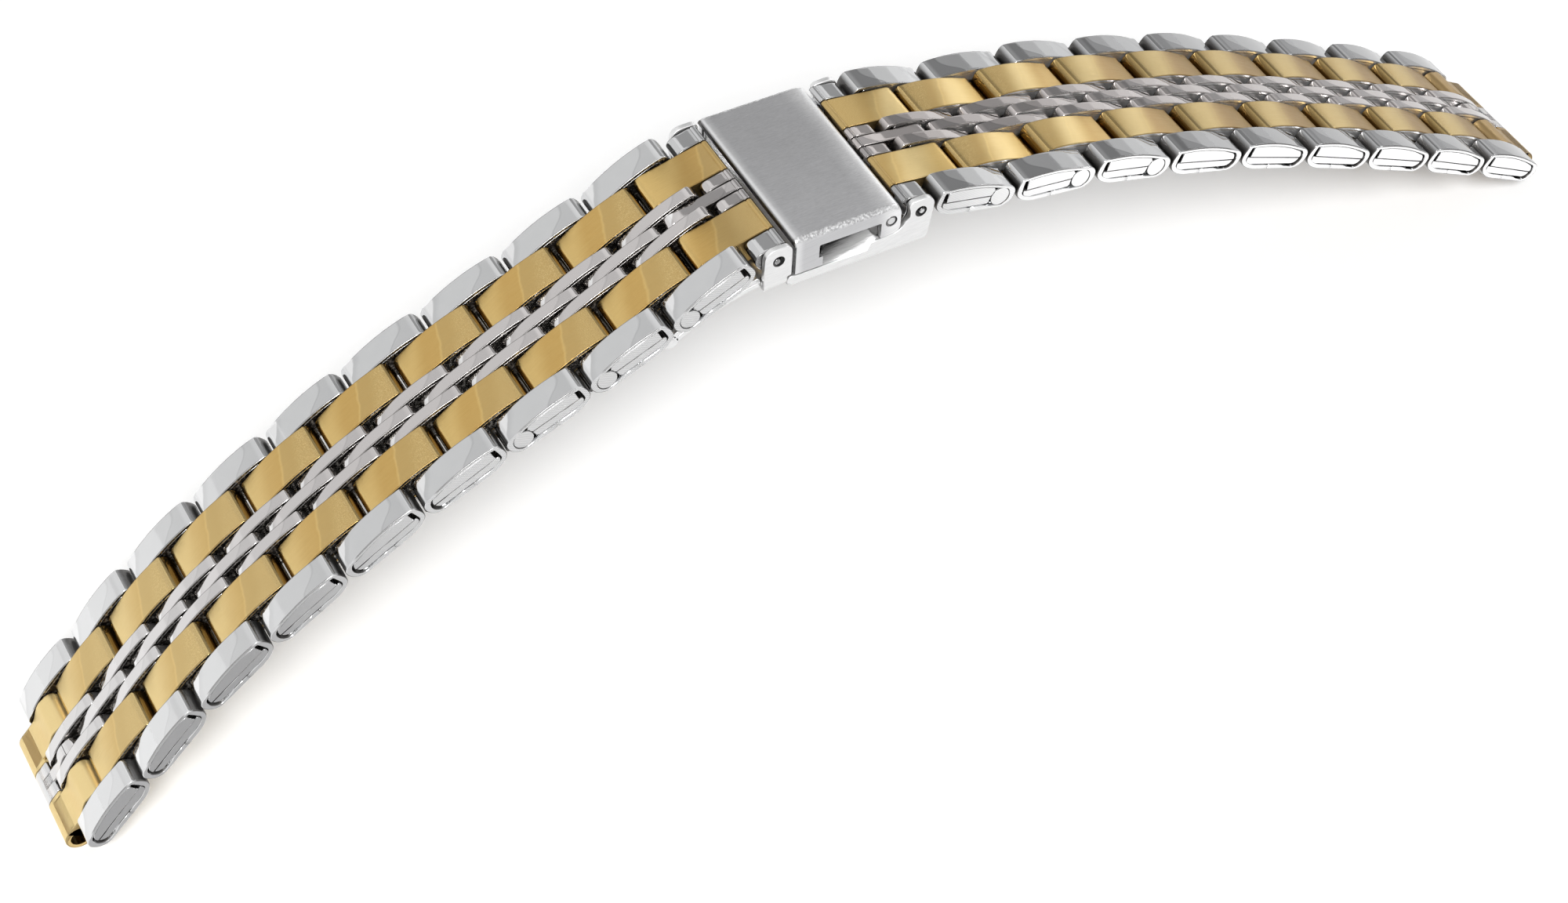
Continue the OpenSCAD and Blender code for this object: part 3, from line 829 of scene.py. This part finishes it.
claspMatrix = Matrix.Translation(clasp["corner"]) @ Matrix.Rotation(math.radians(clasp["tilt"]), 4, "Y")

steelFinish, cutFinish, goldFinish = polishedSteel(), cutSteel(), brushedGold()
satinFinish = brushedSteel("satin_steel", satinLook)
sheetFinish = brushedSteel("sheet_steel", sheetLook)
print("finishes ready")

blanks = {name: makeBlank("blank_" + name, columns[name], True) for name in ("edge", "gold", "slim")}
blanks["plain"] = makeBlank("blank_plain", columns["edge"], False)
blanks["pin"] = makeRodBlank("blank_pin", (0, 0))
blanks["rib"] = makeRodBlank("blank_rib", link["ribAt"], link["ribRadius"], link["ribReach"])
blanks["longRib"] = makeRodBlank("blank_long_rib", link["ribAt"], link["ribRadius"])
rowTree = makeRowTree()
rowDefaults = {
    "Wide Blank": blanks["edge"],
    "Wide Count": 2,
    "Wide Spacing": (2 * columns["half"] - columns["steps"][0] + columns["gap"]) * mm,
    "Slim Blank": blanks["slim"],
    "Slim Count": 2,
    "Slim Spacing": columns["slimSpacing"] * mm,
    "Pin Blank": blanks["pin"],
    "Pin Count": 0,
    "Pin Start": -link["pinBack"] * mm,
    "Pin Spacing": (link["pinBack"] + link["pinAhead"]) * mm,
    "Rib Blank": None,
    "Finish": steelFinish,
    "Cut Finish": cutFinish,
}
rowKinds = {
    "links": {"Rib Blank": blanks["rib"]},
    "gold": {
        "Wide Blank": blanks["gold"],
        "Wide Spacing": columns["goldSpacing"] * mm,
        "Slim Count": 0,
        "Finish": goldFinish,
    },
    "middle": {"Wide Count": 0, "Slim Count": 1, "Pin Count": 2, "Rib Blank": blanks["longRib"]},
}
# Rows on a strand, the edge links with a bead, and what the left strand adds to the seeds
strand = {"rows": 18, "beaded": 3, "leftSeed": 40}
for side, facing in sides.items():
    for number in range(1, strand["rows"]):
        outer = number % 2 == 1
        k = (number + 1) // 2 if outer else number // 2 + 1
        group = "outer" if outer else "inner"
        body, node = f"{group}_{side}_{k}", f"{group}_row_{side}_{k}"
        centre, heading = rowPlace(side, number)
        seed = number + (strand["leftSeed"] if facing else 0)
        for kind in ("links",) if outer else ("gold", "middle"):
            settings = dict(rowDefaults, **rowKinds[kind])
            if kind == "links" and k > strand["beaded"]:
                settings["Wide Blank"] = blanks["plain"]
            settings.update(Place=centre, Heading=heading, Facing=facing, Seed=seed)
            piece = makeRow(rowTree, f"{body}_{kind}", settings)
            finishPiece(piece, body, "gold" if kind == "gold" else "steel", node)
for blank in blanks.values():
    bpy.data.objects.remove(blank)
print("rows of links ready")


# End pieces on the clasp's spring bars
endPiece = {
    "left": {"bar": -2.09, "front": 1.27},
    "right": {"bar": -1.44, "front": 1.8},
    "frontRound": 1.2, "topRound": 0.4, "lower": 0.12,
    "grooveAt": 0.55, "grooveDeep": 0.08,
    "relief": 1.85, "reliefOut": 3.0, "reliefHigh": 2.15,
    "halfEnd": -0.175, "halfWidth": 8.36,
}
columnSpans = []
edgeLine = -columns["half"]
for index, width in enumerate(columns["steps"]):
    before, after = (columns["gap"] if inside else 0 for inside in (index, index < 6))
    columnSpans.append((edgeLine + before, edgeLine + width - after))
    edgeLine += width


def finishPair(group, side, number, steel, gold):
    matrix = rowMatrix(side, number)
    for build, slot, finish in ((steel, "steel", steelFinish), (gold, "gold", goldFinish)):
        piece = build.finished(f"{group}_{side}_{slot}", matrix, finish)
        finishPiece(piece, f"{group}_{side}", slot, f"{group}_{slot}_{side}")


def endOutline(side, xEnd):
    front = endPiece[side]["bar"] - endPiece[side]["front"]
    top = link["thick"] / 2 - endPiece["lower"]
    low = -link["thick"] / 2
    groove, deep = front + endPiece["grooveAt"], top - endPiece["grooveDeep"]
    soft, curve = endPiece["topRound"], endPiece["frontRound"]
    points = endCorners(xEnd)
    points += [(groove + 0.13, top), (groove + 0.1, deep), (groove, deep), (groove - 0.03, top)]
    points += arc((front + soft, top - soft), soft, 90, 180, 5)
    if side == "left":
        return points + arc((front + curve, curve + low), curve, 180, 270, 7)
    middle, reach = (endPiece[side]["bar"] - endPiece["reliefOut"], -0.15), endPiece["relief"]
    for i in range(9):
        z = top - soft - 0.05 - endPiece["reliefHigh"] * i / 8
        x = middle[0] + math.sqrt(reach * reach - (z - middle[1]) ** 2)
        points.append((max(x, front), z))
    return points + [(front + 0.45, low + 0.12), (front + 0.75, low)]


def makeEndPiece(side):
    steel, gold = Builder(), Builder()
    limit = endPiece["halfWidth"]
    for index, (low, high) in enumerate(columnSpans):
        whole = index % 2 == 1
        outline = endOutline(side, link["length"] / 2 if whole else endPiece["halfEnd"])
        build = gold if index in (1, 5) else steel
        build.solid(outline, max(low, -limit), min(high, limit), rounding=link["edgeRound"],
                    mark=marks["end"] if whole else 0.0)
    addRod(steel, (link["pinAhead"], 0))
    finishPair("end", side, 0, steel, gold)


# Lug ends: three fingers on the tube for the watch's own spring bar
def tubeSide(start, steps):
    # Just inside the tube's surface, then up to its top, where the strip leaves it
    radius = lugEnd["radius"]
    points = arc(lugAxis, radius - lugEnd["inside"], start, 108, steps)
    return points + [(lugAxis[0], lugAxis[1] + radius - 0.1), (lugAxis[0], stripTop)]


def fingerOutline():
    # A bump like a link's end, a smooth dip, and a flat strip on to the tube
    points = flipped(endCorners(link["length"] / 2)) + tubeSide(250, 14)
    top, (first, last) = lugEnd["bump"], lugEnd["dip"]
    for i in range(13):
        t = i / 12
        points.append((first + (last - first) * t, stripTop + (top - stripTop) * t * t * (3 - 2 * t)))
    return points


def makeLugEnd(side):
    steel, gold = Builder(), Builder()
    bore, tube = circle(lugAxis, lugEnd["bore"], 32), circle(lugAxis, lugEnd["radius"], 48)
    strip = tubeSide(175, 8) + [(0.26, stripTop), (0.16, stripTop - 0.117)]
    band = lugEnd["bandLength"] / 2
    inner = -band - lugEnd["bandGap"]
    low, high = columnSpans[1]
    gold.mirrored(fingerOutline(), low, high, rounding=link["edgeRound"], mark=marks["lug"])
    gold.mirrored(strip, low + 0.1, inner, rounding=0.05, mark=marks["lug"])
    gold.mirrored(tube, low, inner, rounding=0.1, holes=[bore], mark=marks["lug"])
    low, high = columnSpans[3]
    steel.solid(fingerOutline(), low, high, rounding=link["edgeRound"])
    for outline, holes in ((strip, []), (tube, [bore])):
        steel.solid(outline, -band, band, rounding=0.04, holes=holes, mark=marks["plain"])
    addRod(steel, (-link["pinBack"], 0))
    finishPair("lug", side, strand["rows"], steel, gold)


for side in sides:
    makeEndPiece(side)
    makeLugEnd(side)
print("end pieces and lug ends ready")


# Cover: one sheet bent down at its long sides, with a window in each flange
cover = {
    "length": 10.65, "thick": 0.7, "side": 0.55, "drop": 3.95,
    "bend": 0.55, "insideRound": 0.2, "edgeWidth": 0.07,
    "leftSoft": (0.55, 0.3), "rightSoft": (1.5, 0.5), "flangeLeft": 0.18,
    "window": (2.5, -1.45, 8.7), "foot": (2.9, -2.9), "cornerRound": 0.15,
    "lobeLow": -3.2, "lobeRound": 0.8,
    "rivetRadius": 0.48, "rivetSunk": 0.03, "rivetRound": 0.12,
}


def channel(top):
    # The bent sheet's section as (y, z), with its top at one height
    half, low, bend, turn = columns["half"], -cover["drop"], cover["bend"], cover["insideRound"]
    inside = half - cover["side"]
    outer = [(half, low)] + arc((half - bend, top - bend), bend, 0, 90, 7)
    inner = arc((inside - turn, -cover["thick"] - turn), turn, 90, 0, 3) + [(inside, low)]
    return outer + flipped(outer) + flipped(inner) + inner


def makeCover():
    build = Builder()
    length, (wide, high), (far, fall) = cover["length"], cover["leftSoft"], cover["rightSoft"]
    places = arc((wide, -high), (-wide, high), 0, 90, 5)
    places += [(length * i / 6, 0) for i in range(1, 5)]
    places += reversed(arc((length - far, -fall), (far, fall), 0, 90, 8))
    rings = [[build.vertex(x, y, z, x) for y, z in channel(top)] for x, top in places]
    for first, second in zip(rings, rings[1:]):
        build.strip(first, second)
    build.face(rings[0])
    build.face(reversed(rings[-1]))
    bmesh.ops.recalc_face_normals(build.mesh, faces=build.mesh.faces)
    piece = build.finished("cover_sheet", None, satinFinish)
    # The window, open to the right below a lobe round the hinge
    (left, high, right), (footX, footZ) = cover["window"], cover["foot"]
    low, rim, curve = cover["lobeLow"], cover["lobeRound"], cover["cornerRound"]
    window = [(footX, -6), (length + 1, -6), (length + 1, low + rim)]
    window += arc((length - rim, low + rim), rim, 0, -90, 6)
    window += [(right, low)] + arc((right - curve, high - curve), curve, 0, 90, 3)
    window += arc((left + curve, high - curve), curve, 90, 180, 3) + [(left, footZ), (footX, footZ)]
    edge, under = cover["flangeLeft"], -cover["thick"]
    step = [(-1, -6), (edge, -6), (edge, under), (-1, under)]
    cutter = Builder()
    hole = circle(clasp["hinge"], clasp["holeRadius"], 32)
    for outline in (window, step, hole):
        cutter.solid(outline, -12, 12, rounding=0.0, steps=1)
    cutter = cutter.finished("cutter")
    evaluated(piece, "BOOLEAN", operation="DIFFERENCE", solver="EXACT", object=cutter)
    bpy.data.objects.remove(cutter)
    evaluated(piece, "BEVEL", width=cover["edgeWidth"] * mm, segments=2, limit_method="ANGLE",
              angle_limit=math.radians(32), harden_normals=True)
    piece.data.transform(Matrix.Scale(mm, 4) @ claspMatrix @ Matrix.Scale(1 / mm, 4))
    finishPiece(piece, "cover", "steel_satin", "cover")


def finishOnClasp(build, name, finish, *rest):
    finishPiece(build.finished(name, claspMatrix, finish), *rest)


def makeRivets():
    build = Builder()
    inner, outer = clasp["wall"] - clasp["sheet"], columns["half"] - cover["rivetSunk"]
    head = circle(clasp["hinge"], cover["rivetRadius"])
    build.mirrored(head, inner, outer, rounding=cover["rivetRound"])
    finishOnClasp(build, "cover_rivet_heads", steelFinish, "cover", "steel", "cover_rivets")


def makeBars():
    for side, body, pull in (("left", "fold_blade", -1), ("right", "clasp_base", 1)):
        at, half = clasp[side + "Bar"], clasp["barHalf"]
        build = Builder()
        build.solid(circle(at, clasp["barRadius"], 32), -half, half, mark=marks["bar"])
        tip = circle((at[0] + clasp["tipPull"] * pull, at[1]), clasp["tipRadius"], 24)
        build.mirrored(tip, *clasp["tipSpan"], rounding=0.1, mark=marks["end"])
        finishOnClasp(build, f"bar_{side}", steelFinish, body, "steel", f"spring_bar_{side}")


# Base of the clasp, with the ears of the right strand and the fixed tongue
tongue = {
    "curve": (0.5, -24.5), "radius": 20.0, "thick": 0.5, "gap": 0.06, "half": 7.8,
    "knuckle": 0.75, "knuckleSpan": 3.1,
    "foldOut": 11.2, "shortBy": 1.2, "pinRadius": 0.38, "pinHalf": 7.84,
}
claspBase = {
    "left": -0.45, "earRound": 1.0, "footRound": 0.5,
    "hingeClear": (1.95, 1.68), "hingeWall": 0.85, "insideTop": -0.85,
    "padSpan": (0.1, 8.74), "padRound": 0.22,
}
blade = {"edge": -0.62, "seatTop": -3.6, "earRight": -0.18, "earRounds": (0.7, 1.05)}
curveX = tongue["curve"][0]
foldAngle = 90 + math.degrees(math.asin((curveX + tongue["foldOut"]) / tongue["radius"]))
foldAxis = arc(tongue["curve"], tongue["radius"] + tongue["gap"] / 2, foldAngle, foldAngle, 1)[0]


def addLeaf(build, inner, outer, startX):
    # A curved sheet from near the cover's left edge to the fold
    half, start = tongue["half"], 90 + math.degrees(math.asin((curveX - startX) / inner))
    end = foldAngle - tongue["shortBy"]
    outline = arc(tongue["curve"], outer, start, end, 20) + arc(tongue["curve"], inner, end, start, 20)
    build.solid(outline, -half, half, rounding=0.08)


def makeBase():
    build, pads = Builder(), Builder()
    half, low, floorHalf = columns["half"], -clasp["height"], columns["half"] - clasp["floorInset"]
    floorTop, left = low + clasp["floor"], claspBase["left"]
    hinge, bar = clasp["hinge"], clasp["rightBar"]
    holes = [circle(bar, clasp["holeRadius"])]
    right = bar[0] + clasp["earReach"]
    plate = [(left, low + 0.02), (right - 0.7, low + 0.02), (right - 0.55, floorTop), (left, floorTop)]
    build.solid(plate, -floorHalf, floorHalf, rounding=0.1)
    # Outer wall: a flared end, the low rim, the clearance round the hinge and the ear
    curve, foot, rim = claspBase["earRound"], claspBase["footRound"], low + clasp["rim"]
    wall = [(-0.2, low)] + arc((right - 0.95, low + foot), foot, 270, 352, 5)
    wall += arc((right - curve, -1.25), curve, 0, 88, 6)
    wall += [(bar[0] - 0.85, -0.3), (bar[0] - 1.15, -0.55)]
    for radius, start, end in zip(claspBase["hingeClear"], (24, -25), (-12, -80)):
        wall += arc(hinge, radius, start, end, 6)
    wall += [(8.5, -3.32), (hinge[0] - 2.0, -3.36), (hinge[0] - 2.3, rim), (0.3, rim + 0.03)]
    wall += arc((-0.1, low + 0.62), 0.42, 90, 230, 6)
    build.mirrored(wall, clasp["flange"], half, rounding=0.07, holes=holes)
    inside = [(0.3, floorTop - 0.3), (hinge[0] + 0.35, floorTop - 0.3)]
    inside += arc(hinge, claspBase["hingeWall"], -60, 90, 8) + [(0.3, claspBase["insideTop"])]
    build.mirrored(inside, clasp["wall"] - clasp["sheet"], clasp["wall"] - 0.01)
    pad = [(2.85, low + 0.5), (8.6, low + 0.5), (8.6, -3.25), (8.3, -2.98), (8.02, -2.6), (7.84, -2.3)]
    pad += arc((7.3, -2.3), 0.5, 20, 80, 5)
    pad += [(4.6, -1.76), (3.4, -1.85)] + arc((3.25, -2.3), 0.4, 95, 180, 4)
    sunk, out = claspBase["padSpan"]
    pads.mirrored(pad, clasp["wall"] - sunk, out, rounding=claspBase["padRound"], steps=5, mark=marks["end"])
    addLeaf(build, tongue["radius"] - tongue["thick"], tongue["radius"], -0.4)
    knuckle, inner = circle(foldAxis, tongue["knuckle"]), tongue["knuckleSpan"] + 0.05
    build.mirrored(knuckle, inner, tongue["half"], rounding=0.08)
    pin, pinHalf = circle(foldAxis, tongue["pinRadius"], 20), tongue["pinHalf"]
    build.solid(pin, -pinHalf, pinHalf, rounding=0.05, mark=marks["plain"])
    finishOnClasp(build, "base_body", sheetFinish, "clasp_base", "steel_satin", "clasp_base", "fold_pin")
    finishOnClasp(pads, "base_pads", padSteel(), "clasp_base", "steel")


# Folding blade, with the ears of the left strand
def makeBlade():
    build = Builder()
    half, bar, floorHalf = columns["half"], clasp["leftBar"], columns["half"] - clasp["floorInset"]
    floorTop, top = clasp["floor"] - clasp["height"], blade["seatTop"]
    left, edge, right = bar[0] - clasp["earReach"], blade["edge"], blade["earRight"]
    near, far = blade["earRounds"]
    inner, span = tongue["radius"] + tongue["gap"], tongue["knuckleSpan"]
    addLeaf(build, inner, inner + tongue["thick"], edge)
    foot = [(left, floorTop - 0.15), (edge, floorTop + 0.08)]
    build.solid(foot + [(edge, top), (left, top)], -floorHalf, floorHalf, rounding=0.08)
    ear = foot + [(-0.6, -3.9), (right, -3.7)] + arc((right - near, -0.9), near, 0, 90, 5)
    ear += arc((left + far, -1.25), far, 92, 180, 6)
    build.mirrored(ear, clasp["flange"], half, rounding=0.07, holes=[circle(bar, clasp["holeRadius"])])
    build.solid(circle(foldAxis, tongue["knuckle"]), -span, span, rounding=0.08)
    finishOnClasp(build, "blade_body", sheetFinish, "fold_blade", "steel_satin", "fold_blade")


makeCover()
makeRivets()
makeBars()
makeBase()
makeBlade()
print("clasp ready")


# Floor, light and background
stageLook = {"floor": 0.93, "glow": 0.15, "world": 0.25, "size": 6.0, "height": -0.02}


def makePlate(name, material, wide, high, height):
    # A flat rectangle, from half its sides in millimetres
    build = Builder()
    corners = ((-wide, -high), (wide, -high), (wide, high), (-wide, high))
    build.face([build.vertex(x, y, height, 0) for x, y in corners])
    return build.finished(name, None, material)


def makeFloor():
    f = Finish("pale_floor")
    f.surface(base=grey(stageLook["floor"]), roughness=0.9)
    seen = f.seenBy("Is Glossy Ray")
    glow = f.node("Emission", None, {"Color": grey(1), "Strength": seen * stageLook["glow"]})
    added = f.node("AddShader", None, {0: Value(f, f.shader.outputs[0]), 1: glow})
    f.tree.links.new(added.socket, f.tree.nodes["Material Output"].inputs["Surface"])
    reach = stageLook["size"] / mm
    makePlate("floor", f.material, reach, reach, stageLook["height"])


def makeWorld():
    f = Finish("studio", bpy.data.worlds, "Background")
    scene.world = f.material
    seen = f.seenBy("Is Glossy Ray", "Is Transmission Ray")
    f.surface(color=f.blend(seen, grey(stageLook["world"]), grey(1)))


lamps = [
    {"name": "sun", "place": (-0.27, -0.6, 0.75), "strength": 2.7, "angle": 18, "shadow": True},
    {"name": "glint", "place": (0.85, 0.35, 0.4), "strength": 0.45, "angle": 12, "shadow": False},
]
cards = [
    {"name": "card_low", "place": (0.9, 0.66, 0.3), "size": (1.0, 0.2), "level": 0.75},
    {"name": "card_left", "place": (-0.55, 0.75, 0.72), "size": (0.9, 0.8), "level": 0.86},
    {"name": "card_back", "place": (0.62, 0.72, 0.72), "size": (1.1, 0.72), "level": 0.42},
]


# Grey cards stand where polished steel would otherwise mirror nothing but white
def makeCards():
    for card in cards:
        wide, high = (size / mm / 2 for size in card["size"])
        f = Finish(card["name"])
        f.surface(base=grey(0), roughness=1.0, glow=grey(card["level"]), strength=1.0)
        made = makePlate(card["name"], f.material, wide, high, 0)
        aim = Vector(card["place"]).to_track_quat("Z", "Y").to_matrix().to_4x4()
        made.data.transform(Matrix.Translation(card["place"]) @ aim)
        made.visible_camera = made.visible_diffuse = made.visible_shadow = False


def makeLamps():
    for lamp in lamps:
        light = bpy.data.lights.new(lamp["name"], "SUN")
        light.use_shadow = lamp["shadow"]
        light.energy = lamp["strength"]
        light.angle = math.radians(lamp["angle"])
        made = bpy.data.objects.new(lamp["name"], light)
        scene.collection.objects.link(made)
        made.location = lamp["place"]
        made.rotation_euler = Vector(lamp["place"]).to_track_quat("Z", "Y").to_euler()


makeFloor()
makeWorld()
makeLamps()
makeCards()
scene.view_settings.view_transform = "Standard"
print("stage ready")
